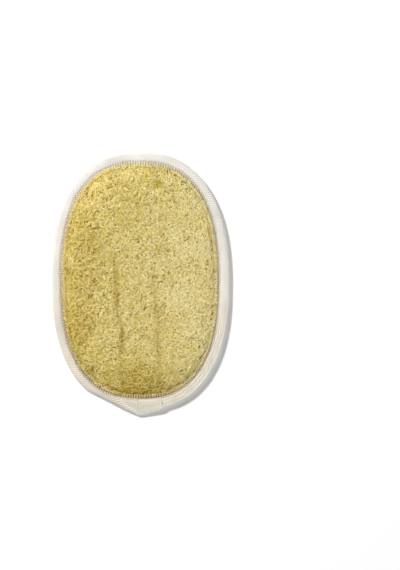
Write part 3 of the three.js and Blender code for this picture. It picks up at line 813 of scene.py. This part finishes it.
def strand_shapes():
    """Short curly fibres whose ends dip into the mat."""
    home = bpy.data.collections.new("strand shapes")
    rng = np.random.default_rng(41)
    for k in range(STRAND_SHAPES):
        step = rng.uniform(*STRAND_LENGTH) / (STRAND_POINTS - 1)
        heading, turn = 0.0, rng.normal(0, STRAND_BEND)
        path = [np.zeros(3)]
        for _ in range(STRAND_POINTS - 1):
            turn = STRAND_KEPT * turn + rng.normal(0, STRAND_CURL)
            heading += turn
            path.append(path[-1] + step * np.array([math.cos(heading), math.sin(heading), 0]))
        path = np.array(path)
        path -= path.mean(axis=0)
        share = np.linspace(0, 1, STRAND_POINTS)
        out = 2 * np.abs(share - 0.5)
        swing = np.sin(rng.uniform(0, TURN) + rng.uniform(0.7, 1.5) * TURN * share)
        path[:, 2] = STRAND_WAVE * swing - STRAND_TUCK * out**3
        radii = rng.uniform(*STRAND_THICKNESS) / 2 * (1 - 0.3 * out**3)
        points, faces = tube(path, radii, STRAND_SIDES)
        new_object(f"strand_{k:02d}", points * MM, faces, home)
    return home


def make_strands(mat, material):
    tree, shapes = strand_tree(), strand_shapes()
    pieces = []
    for name, seed, spacing, lift, tints, sizes in STRAND_LAYERS:
        values = {"Strands": shapes, "Finish": material, "Seed": seed, "Spacing": spacing * MM,
                  "Lift": lift * MM, "Least tint": tints[0], "Most tint": tints[1],
                  "Smallest": sizes[0], "Largest": sizes[1]}
        pieces.append(grow(name, mat, tree, values))
    return pieces


# The tape.


def lower_oval_point(x):
    rest = 1 - abs(x / PAD.half_width) ** PAD.power
    return (x, -PAD.half_length * rest ** (1 / PAD.power))


CORNER = [lower_oval_point(CORNER_START_X), CORNER_POINT, FLAP_KNEE, FLAP_HEEL, lower_oval_point(FLAP_END_X)]
CORNER_ANGLES = [math.atan2(y, x) for x, y in CORNER]
FOLD_ANGLE, FLAP_END_ANGLE = CORNER_ANGLES[1], CORNER_ANGLES[4]


def tape_radius(angle):
    """The tape's outer edge: the oval, with the corner's straight edges, at one angle from -pi to pi."""
    for (x0, y0), (x1, y1), low, high in zip(CORNER, CORNER[1:], CORNER_ANGLES, CORNER_ANGLES[1:]):
        if low <= angle <= high:
            dx, dy = x1 - x0, y1 - y0
            return (x0 * dy - y0 * dx) / (math.cos(angle) * dy - math.sin(angle) * dx)
    return oval_radius(angle, PAD)


def walk_round(pitch):
    """Angles at even steps along the pad's oval, and the step."""
    fine = np.linspace(-math.pi, math.pi, 4000)
    radius = oval_radius(fine, PAD)
    x, y = radius * np.cos(fine), radius * np.sin(fine)
    length = np.concatenate([[0], np.cumsum(np.hypot(np.diff(x), np.diff(y)))])
    count = int(round(length[-1] / pitch))
    return np.interp(np.arange(count) * length[-1] / count, length, fine), length[-1] / count


def edge_wobble(angle):
    """How far the hand-sewn front edge strays, the same at both ends of the turn."""
    return 0.14 * math.sin(9 * angle + 0.7) + 0.12 * math.sin(23 * angle) + 0.08 * math.sin(41 * angle + 2)


def rise_to_fold(angle):
    """How far the tape lifts on its way to the fold, where its own end lies under it."""
    return np.where(angle < FOLD_ANGLE, 0.75 * FLAP_LIFT * smooth(CORNER_ANGLES[0], FOLD_ANGLE, angle), 0.0)


def flap_lift(angle):
    """How far the flap stands over the tape: less at its two ends, which round down."""
    started = smooth(0, FLAP_ROUND, angle - FOLD_ANGLE - FOLD_GAP)
    return FLAP_LIFT * (0.45 + 0.55 * started * smooth(0, FLAP_ROUND, FLAP_END_ANGLE - angle))


def seam_shade(angle):
    """How dark the front seam looks: most at the lower left, least at the right."""
    return SEAM_LEAST + (1 - SEAM_LEAST) * (0.5 - 0.5 * np.cos(angle - SEAM_LIGHT_ANGLE)) ** 1.5


def shade_beside_flap(angle):
    """How dark the tape is just outside the flap's two ends: painted shade where the flap meets it."""
    return bell(angle, FOLD_ANGLE, 0.005, 0.18) + bell(angle, FLAP_END_ANGLE, 0.012, 0.12)


def tape_section(angle, flap):
    """The folded tape cut at an angle: (distance in from the pad's oval, height) round the section."""
    pad = oval_radius(angle, PAD)
    out = pad - tape_radius(angle)
    front_in = pad - oval_radius(angle, FRONT_OPENING) - (FLAP_SHORT if flap else edge_wobble(angle))
    back_in = FLAP_REACH if flap else pad - oval_radius(angle, BACK_OPENING)
    # The flap lies over the tape's front and under its back leaf.
    beside = 0.0 if flap else near_angle(angle, FOLD_ANGLE, FLAP_END_ANGLE, 0.004)
    raised = (FLAP_LIFT + 0.25) * beside
    lift = flap_lift(angle) if flap else rise_to_fold(angle)
    share = min(1.0, max(0.0, -out / CORNER_TAPER))
    top = RIM + lift - (RIM - CORNER_THICKNESS) * share - 0.3 * beside
    roll = min(TAPE_ROLL, 0.5 * top)
    turn_in = out + roll

    back_d = np.linspace(back_in, turn_in, LEAF_POINTS)
    inner = back_in - back_d
    back_z = soft_cup(back_d) - 0.05 + bell(inner, *BACK_LIP) + bell(inner, *BACK_SELVEDGE)
    if flap:
        back_z -= 0.55 * FLAP_LIFT * smooth(FOOT_IN - 1, FOOT_IN + 2, back_d)
    else:
        back_z += raised + bell(inner, *BACK_GROOVE)
    back_z = np.maximum(0.0, back_z)

    turn = math.pi * (np.arange(1, ROLL_POINTS) / ROLL_POINTS - 0.5)
    roll_d = out + roll * (1 - np.cos(turn) ** 0.8)
    roll_z = back_z[-1] + (top - back_z[-1]) * (0.5 + 0.5 * np.sin(turn))

    front_d = np.linspace(turn_in, front_in, LEAF_POINTS + 6)
    inner = front_in - front_d
    leaf = RIM + lift + LEAF_RISE * soft_cup(front_d)
    front_z = top + (leaf - top) * smooth(turn_in, max(FOOT_IN, turn_in + 2.5), front_d)
    crown_share = (front_d - turn_in) / max(1.0, front_in - SEAM_OUT - turn_in)
    front_z += LEAF_CROWN * np.sin(math.pi * np.minimum(1.0, crown_share)) + bell(inner, *FRONT_LIP)
    if not flap:
        front_z += bell(inner, *FRONT_GROOVE) - SEAM_SINK * smooth(SEAM_OUT + 0.3, SEAM_OUT - 0.3, inner)
        ridges = RIDGE_HEIGHT * near_angle(angle, FLAP_END_ANGLE, RIDGES_END, 0.12)
        ridges = ridges * np.cos(TURN * (inner - SEAM_OUT) / RIDGE_PITCH)
        front_z += ridges * smooth(SEAM_OUT, SEAM_OUT + 0.8, inner)

    # The side of the tape that lies against the layers.
    under_leaf = leaf[-1] - TAPE
    wall = max(out + 0.9, 0.2) if flap else max(3.0, out + 1.0)
    lining = [(front_in + 0.05, under_leaf + 0.1), (front_in - LIP_TUCK, under_leaf)]
    if flap:
        lining += [(wall, top - 0.8), (wall, 0.75)]
    else:
        lining += [(FOOT_IN, RIM - TAPE - 0.1), (wall, RIM - 1.4), (wall, 1.4 + raised)]
        lining += [(FOOT_IN, TAPE + raised)]
    lining += [(back_in - LIP_TUCK, back_z[0] + TAPE * 0.8)]
    leaves = [np.column_stack(part) for part in ((back_d, back_z), (roll_d, roll_z), (front_d, front_z))]
    return np.concatenate([*leaves, np.array(lining, float)])


def sweep_tape(name, angles, closed, flap, material):
    """A closed mesh swept through the tape's sections."""
    sections = np.array([tape_section(angle, flap) for angle in angles])
    rows, count, _ = sections.shape
    pad = oval_radius(angles, PAD)
    radius, z = pad[:, None] - sections[:, :, 0], sections[:, :, 1]
    fray = FLAP_FRAY * smooth(FLAP_END_ANGLE - 0.04, FLAP_END_ANGLE, angles) * flap
    turned = angles[:, None] + fray[:, None] * np.sin(FRAY_TURN * np.arange(count))
    rings = np.stack([radius * np.cos(turned), radius * np.sin(turned), z], -1)

    edge = np.column_stack([pad * np.cos(angles), pad * np.sin(angles)])
    along = np.append(0, np.cumsum(np.linalg.norm(np.diff(edge, axis=0), axis=1)))
    along = np.append(along, along[-1] * rows / (rows - 1))
    across = np.zeros((rows, count + 1))
    across[:, 1:count] = np.cumsum(np.linalg.norm(np.diff(sections, axis=1), axis=2), axis=1)
    across[:, count] = across[0, count - 1]
    piece = sweep(name, rings, along, across, closed)

    from_opening = radius - oval_radius(angles, FRONT_OPENING)[:, None]
    in_band = smooth(SHADE_START, SHADE_FULL, from_opening) * (z > RIM / 2)
    shade = np.maximum(in_band * seam_shade(angles)[:, None], shade_beside_flap(angles)[:, None]) * (not flap)
    cream = smooth(30, -60, rings[:, :, 1]) * smooth(1.5, RIM, z)
    return dress(piece, material, seam_shade=shade.ravel(), cream=cream.ravel())


def make_tape(material):
    angles = np.sort(np.concatenate([walk_round(TAPE_STEP)[0], CORNER_ANGLES[:2]]))
    return sweep_tape("edge_tape", angles, True, False, material)


def make_flap(material):
    start = FOLD_ANGLE + FOLD_GAP
    rounding = FLAP_ROUND * np.array([0.15, 0.35, 0.6])
    even = np.linspace(start, FLAP_END_ANGLE, FLAP_STEPS)
    angles = np.sort(np.concatenate([even, start + rounding, FLAP_END_ANGLE - rounding]))
    return sweep_tape("folded_tape_end", angles, False, True, material)


# The strap and the knit.


def strap_under(x):
    """The strap's underside: low and flat in the middle, and up into the tape at both ends."""
    x, edge = np.abs(x), BACK_OPENING.half_width
    tucked = CLOTH_BASE + STRAP_TUCK + cup(PAD.half_width - np.maximum(x, edge))
    t = np.clip((x - STRAP_FLAT) / (edge - STRAP_FLAT), 0, 1)
    return STRAP_LOW + (tucked - STRAP_LOW) * t * t


def make_strap(material):
    """Woven elastic: fine cords run along it between thin selvedges."""
    xs = np.linspace(-STRAP_HALF_LENGTH, STRAP_HALF_LENGTH, STRAP_STEPS)
    ys = np.linspace(-STRAP_WIDTH / 2, STRAP_WIDTH / 2, 6 * STRAP_CORDS + 1)
    relief = CORD_RELIEF * np.cos(TURN * ys * STRAP_CORDS / STRAP_WIDTH)
    relief -= SELVEDGE_THIN * smooth(0.88, 1.0, np.abs(ys) / (STRAP_WIDTH / 2))
    base = strap_under(xs)[:, None]
    pulled = (bell(np.abs(xs), STRAP_SEAM_X, 0.5, 0.16) + 0.03 * np.sin(xs * 5.2))[:, None]
    top = base + STRAP_THICKNESS - CORD_INSET + relief
    under = base + CORD_INSET - relief + pulled
    there_and_back = np.concatenate([ys, ys[::-1]])
    z = np.concatenate([top, under[:, ::-1]], 1)
    rings = np.stack(np.broadcast_arrays(xs[:, None], there_and_back + STRAP_Y, z), -1)
    across = np.tile(np.append(there_and_back, ys[0]), (STRAP_STEPS, 1))
    return dress(sweep("elastic_band", rings, xs, across), material)


def rib_middle(rib, y):
    """The wandering middle line of a rib."""
    return rib * RIB_PITCH + RIB_WANDER * ripple(y * 0 + rib * 7.3, y, 5.5, 61)


def outside_flap(x, y):
    """1 away from the tape's folded end on the back, 0 under it."""
    angle = np.arctan2(y, x)
    near = (angle > FOLD_ANGLE - 0.03) & (angle < FLAP_END_ANGLE + 0.03)
    return np.where(near, smooth(FLAP_REACH - 0.2, FLAP_REACH + 1.0, inside(x, y)), 1.0)


def clear_of_strap(x, y):
    """1 away from the strap's sewn ends, 0 above them, where the knit is pressed flat."""
    beside = smooth(STRAP_WIDTH / 2, STRAP_WIDTH / 2 + 1.2, np.abs(y - STRAP_Y))
    return np.maximum(beside, 1 - smooth(38, 41, np.abs(x)))


def make_back(material):
    """The knit's ground: ridges under the ribs and hollows between them, with painted shade in the hollows.
    """
    def under(x, y):
        rib = np.round(x / RIB_PITCH)
        u = (x - rib_middle(rib, y)) / RIB_PITCH
        ridge = RIB_HEIGHT * np.clip(np.cos(TURN * u), -0.3, 1)
        purl = 0.22 * np.sin(TURN * y / STITCH_PITCH + rib) * np.clip(-np.cos(TURN * u), 0, 1)
        cover = smooth(-0.2, 1.4, inside(x, y, BACK_OPENING)) * outside_flap(x, y) * clear_of_strap(x, y)
        return cloth_under(x, y) - cover * (0.35 + ridge + purl + 0.1 * ripple(x, y, 0.9, 62))

    def over(x, y):
        return cloth_under(x, y) + CLOTH

    points, faces, _ = oval_slab(LAYERS, UNDER_RINGS, KNIT_RINGS, over, under)
    x, y, _ = points.T
    # Painted shade: the tint is low in the hollows between ribs and high on the ridges; the purl rows add
    # lighter bars.
    turn = TURN * (x - rib_middle(np.round(x / RIB_PITCH), y)) / RIB_PITCH
    bars = 0.5 + 0.5 * np.sin(TURN * y / STITCH_PITCH)
    return dress(make_mesh("knit_ground", points, faces), material,
                 tint=0.9 * smooth(-0.2, 0.9, np.cos(turn)) + 0.3 * bars)


def crossing_swell(rib, y):
    """(size, gap) of a rib's stitches near the places where they cross."""
    if rib % CROSSED_RIBS:
        return 1.0, False
    near = min(abs(y - at - 0.8 * math.sin(rib)) for at in CROSSED_AT)
    return 1 + bell(near, 0, CROSSED_REACH, 0.22), near < STITCH_PITCH / 3


def make_knit(unit, material):
    """Two columns of slanting stitches on each rib."""
    places, alongs, ups, sizes = [], [], [], []
    ribs = int(BACK_OPENING.half_width // RIB_PITCH)
    rows = int(BACK_OPENING.half_length // STITCH_PITCH) + 1
    rng = np.random.default_rng(77)
    for rib in range(-ribs, ribs + 1):
        for row in range(-rows, rows + 1):
            for side in (-1, 1):
                stray = rng.uniform(-1, 1, 3)
                y = (row + 0.25 * side) * STITCH_PITCH + 0.5 * math.sin(rib * 1.7) + 0.22 * stray[0]
                size, gap = crossing_swell(rib, y)
                x = rib_middle(rib, y) + side * STITCH_SPLIT * size + 0.2 * stray[1]
                free = outside_flap(x, y) * clear_of_strap(x, y)
                if gap or inside(x, y, BACK_OPENING) < 0.7 or free < 0.8:
                    continue
                lean = -STITCH_SLANT * side + 0.24 * stray[2]
                places.append((x, y, cloth_under(x, y) - STITCH_DROP))
                alongs.append((math.sin(lean), math.cos(lean), 0.08 * side))
                ups.append((0.25 * side, 0, -1))
                sizes.append(size)
    return stitch_rows("knit_stitches", places, alongs, ups, unit, 0.2, 7, material, size=sizes)


# The seams.


def ring_places(opening, out, pitch, height):
    """(angles, places, ways along) at even steps round the pad, out from an opening's edge."""
    angles, _ = walk_round(pitch)

    def at(angle, z):
        radius = oval_radius(angle, opening) + out
        return np.column_stack([radius * np.cos(angle), radius * np.sin(angle), z])

    z = height(angles, oval_radius(angles, PAD) - oval_radius(angles, opening) - out)
    places = at(angles, z)
    alongs = at(angles + 1e-3, z) - places
    return angles, places, alongs / np.linalg.norm(alongs, axis=1)[:, None]


def make_front_seam(stitch, tick, loop, thread, loop_thread):
    """The seam on the loofah side: a line of stitches, ticks over the edge, and loops into the loofah."""
    def top(angle, d):
        return RIM + rise_to_fold(angle) + LEAF_RISE * soft_cup(d)

    _, places, alongs = ring_places(FRONT_OPENING, SEAM_OUT, SEAM_PITCH, top)
    places[:, 2] -= 0.1
    line = stitch_rows("front_seam_line", places, alongs, UP, stitch, 0.1, 3, thread)

    angles, places, alongs = ring_places(FRONT_OPENING, TICK_OUT, TICK_PITCH, top)
    across = np.column_stack([-alongs[:, 1], alongs[:, 0], np.zeros(len(alongs))])
    ticks = stitch_rows("front_seam_ticks", places, across, UP, tick, 0.15, 4, thread,
                        TICK_SHADE * seam_shade(angles))

    angles, places, alongs = ring_places(FRONT_OPENING, LOOP_OUT, LOOP_PITCH, top)
    x, y, _ = places.T
    inward_x, inward_y = -alongs[:, 1], alongs[:, 0]
    slope = loofah_over(x + inward_x, y + inward_y) - loofah_over(x, y)
    across = np.column_stack([inward_x, inward_y, LOOP_SLOPE * slope])
    places[:, 2] = loofah_over(x, y) + LOOP_RISE
    loops = stitch_rows("front_seam_loops", places, across, UP, loop, 0.15, 5, loop_thread,
                        LOOP_SHADE * (seam_shade(angles) - SEAM_LEAST))
    return line, ticks, loops


def make_back_seam(stitch, thread):
    height = lambda angle, d: cup(d)
    angles, places, alongs = ring_places(BACK_OPENING, BACK_SEAM_OUT, BACK_SEAM_PITCH, height)
    places[:, 2] += 0.12
    keep = (angles <= FOLD_ANGLE - 0.005) | (angles >= FLAP_END_ANGLE + 0.005)
    return stitch_rows("back_seam_line", places[keep], alongs[keep], DOWN, stitch, 0.1, 6, thread)


def make_strap_seam(name, side, stitch, thread):
    """A row of stitches across the strap's end, and the start of a second row."""
    spots = [(STRAP_SEAM_X, (k - 2.5) * STRAP_SEAM_PITCH) for k in range(6)]
    spots += [(STRAP_SEAM_X - STRAP_SEAM_GAP, k * 3.0 - 8.6) for k in range(2)]
    places = [(side * x, STRAP_Y + y, strap_under(x) + 0.08) for x, y in spots]
    return stitch_rows(name, places, (0, 1, 0), DOWN, stitch, 0.1, 9, thread)


# The surroundings.


def make_floor():
    """A pale floor that a camera under it sees through, and that lets the light from below by."""
    material, tree, shader = new_material("pale_floor", 0.9, specular=0.0)
    shader.inputs["Base Color"].default_value = (0.93, 0.93, 0.935, 1)
    side = add_node(tree, "ShaderNodeNewGeometry").outputs["Backfacing"]
    ray = add_node(tree, "ShaderNodeLightPath").outputs["Is Shadow Ray"]
    clear = add_node(tree, "ShaderNodeBsdfTransparent")
    both = add_node(tree, "ShaderNodeMixShader", [
        (0, maths(tree, "MAXIMUM", side, ray)), (1, shader), (2, clear)])
    tree.links.new(both.outputs[0], tree.nodes["Material Output"].inputs["Surface"])
    corners = FLOOR * np.array([(-1, -1, 0), (1, -1, 0), (1, 1, 0), (-1, 1, 0)])
    floor = dress(new_object("floor", corners, [(0, 1, 2, 3)]), material)
    floor.location.z = -FLOOR_DROP


def make_lamp(name, place, size, power):
    lamp = bpy.data.lights.new(name, "AREA")
    lamp.shape = "DISK"
    lamp.size = size
    lamp.energy = power
    holder = add_object(name, lamp)
    holder.location = place
    holder.rotation_euler = (-Vector(place)).to_track_quat("-Z", "Y").to_euler()
    holder.visible_camera = False


def make_studio():
    world = bpy.data.worlds.new("studio")
    world.use_nodes = True
    world.node_tree.nodes["Background"].inputs["Color"].default_value = (1, 1, 1, 1)
    world.node_tree.nodes["Background"].inputs["Strength"].default_value = WORLD_LIGHT
    SCENE.world = world
    for lamp in LAMPS:
        make_lamp(*lamp)
    SCENE.view_settings.view_transform = "Standard"


def make_camera():
    lens = bpy.data.cameras.new("camera")
    lens.sensor_width = SENSOR
    lens.lens = SENSOR * VIEW_DISTANCE / VIEW_HEIGHT
    SCENE.camera = add_object("camera", lens)
    SCENE.camera.location = (VIEW_X, VIEW_Y, VIEW_DISTANCE + VIEW_RIM)


make_camera()
make_studio()
make_floor()

MOTTLE = mottle_effect()
TWILL = twill_effect(walk_round(TICK_PITCH)[1])
STITCH_TREE = stitch_tree()
UNITS = bpy.data.collections.new("unit pieces")

# The mat under the strands is coloured darker than the strands on it: painted shade by depth.
mat_finish = loofah_material("loofah ground", (134, 106, 12), (196, 168, 66), (220, 198, 108), 0.06)
strand_finish = loofah_material("loofah strands", (192, 166, 56), (237, 217, 130), (249, 240, 190), 0.22)
ground_finish = yarn_material("knit ground", (140, 116, 78), (232, 214, 188))
knit_finish = yarn_material("knit yarn", (222, 203, 178), (246, 231, 210), relief=0.2)
thread_finish = yarn_material("sewing thread", (204, 192, 164), (228, 220, 202))
loop_finish = yarn_material("loop thread", (208, 192, 150), (234, 222, 188))
grey_finish = yarn_material("grey sewing thread", (150, 150, 150), (190, 190, 192))
tape_finish = tape_material("cotton tape", (186, 181, 169), (233, 230, 222), (255, 250, 239))
band_finish = elastic_material("elastic weave", (203, 202, 206), (228, 227, 230))

seam_stitch = bowed_thread("seam_stitch", 2.1, 0.25, [0.19, 0.23, 0.24, 0.23, 0.19], 6)
edge_tick = bowed_thread("edge_tick", 2.9, 0.2, [0.25, 0.3, 0.31, 0.31, 0.3, 0.25], 5)
edge_loop = bowed_thread("edge_loop", 3.9, 0.4, [0.28, 0.34, 0.35, 0.35, 0.35, 0.34, 0.28], 6)
knit_stitch = bowed_thread("knit_stitch", 4.3, 0.5, [0.8, 1.02, 1.08, 1.0, 0.72], 6)

mat = make_mat(mat_finish)
strands = make_strands(mat, strand_finish)
ground = make_back(ground_finish)
knit = make_knit(knit_stitch, knit_finish)
tape = make_tape(tape_finish)
flap = make_flap(tape_finish)
band = make_strap(band_finish)
front_line, front_ticks, front_loops = make_front_seam(seam_stitch, edge_tick, edge_loop, thread_finish,
                                                       loop_finish)
back_line = make_back_seam(seam_stitch, grey_finish)
left_row = make_strap_seam("strap_stitches_left", -1, seam_stitch, grey_finish)
right_row = make_strap_seam("strap_stitches_right", 1, seam_stitch, grey_finish)

SLOTS = {
    "loofah": [mat, *strands],
    "back_cloth": [ground, knit],
    "tape": [tape, flap],
    "elastic": [band],
    "thread": [front_line, front_ticks, front_loops, back_line, left_row, right_row],
}
for slot, pieces in SLOTS.items():
    for piece in pieces:
        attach(piece, "root")

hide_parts("loofah_face")
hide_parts("ribbed_back")
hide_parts("binding_tape")
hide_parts("elastic_strap")
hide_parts("front_seam_thread")
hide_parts("back_seam_thread")
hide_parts("strap_thread_left")
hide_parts("strap_thread_right")
